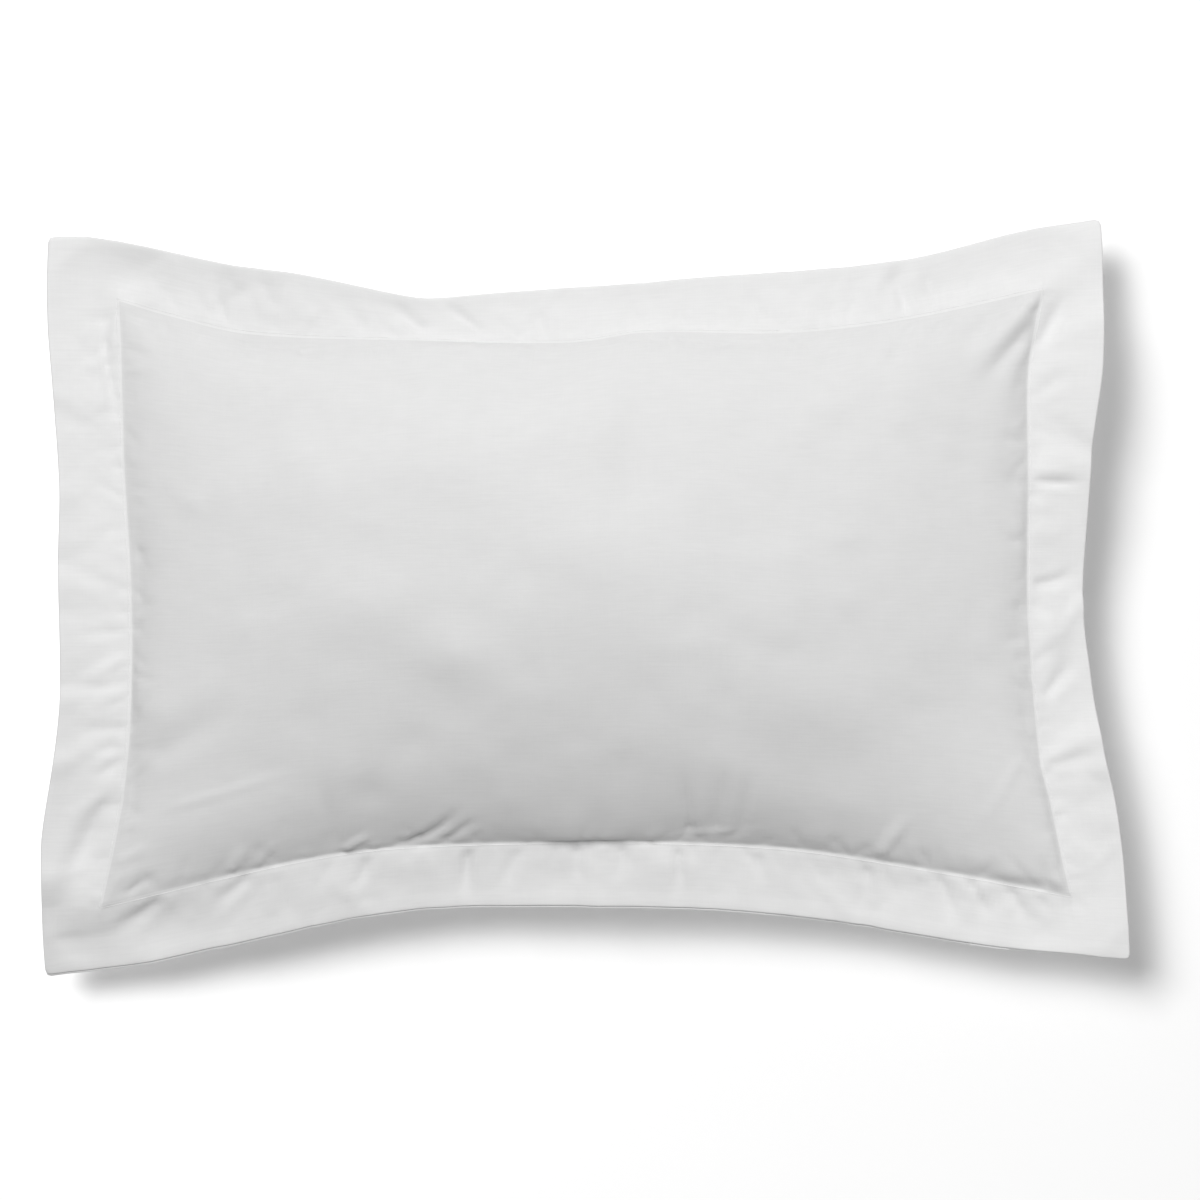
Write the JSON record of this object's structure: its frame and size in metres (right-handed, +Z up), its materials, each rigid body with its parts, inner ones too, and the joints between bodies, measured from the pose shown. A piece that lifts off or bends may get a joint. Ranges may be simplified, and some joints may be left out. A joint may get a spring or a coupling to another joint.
{
  "type": "bed pillow",
  "caption": "Plump white bed pillow in an Oxford pillowcase with a flat border all round and an overlapping envelope closure on the underside.",
  "frame": {"origin": "on the flattened resting face, below the middle of the object's bounding box", "axes": "+X along the long side, +Y across it, +Z up out of the crown; the envelope slit is on the underside near the +X end"},
  "size_m": [0.844, 0.59, 0.155],
  "materials": {
    "case_cotton": "matte",
    "sewing_thread": "satin",
    "label_tape": "satin",
    "ticking": "matte",
    "piping": "matte",
    "fibre": "matte"
  },
  "bodies": {
    "root": {"case_front_panel": "case_cotton", "case_back_panel": "case_cotton", "case_closure_flap": "case_cotton", "flange_topstitch_thread": "sewing_thread", "flange_bobbin_thread": "sewing_thread", "edge_seam_thread": "sewing_thread", "back_panel_hem_thread": "sewing_thread", "closure_flap_hem_thread": "sewing_thread", "case_care_label": "label_tape", "insert_care_label": "label_tape", "insert_top_ticking": "ticking", "insert_bottom_ticking": "ticking", "insert_piping": "piping", "fibre_fill": "fibre"}
  },
  "joints": []
}
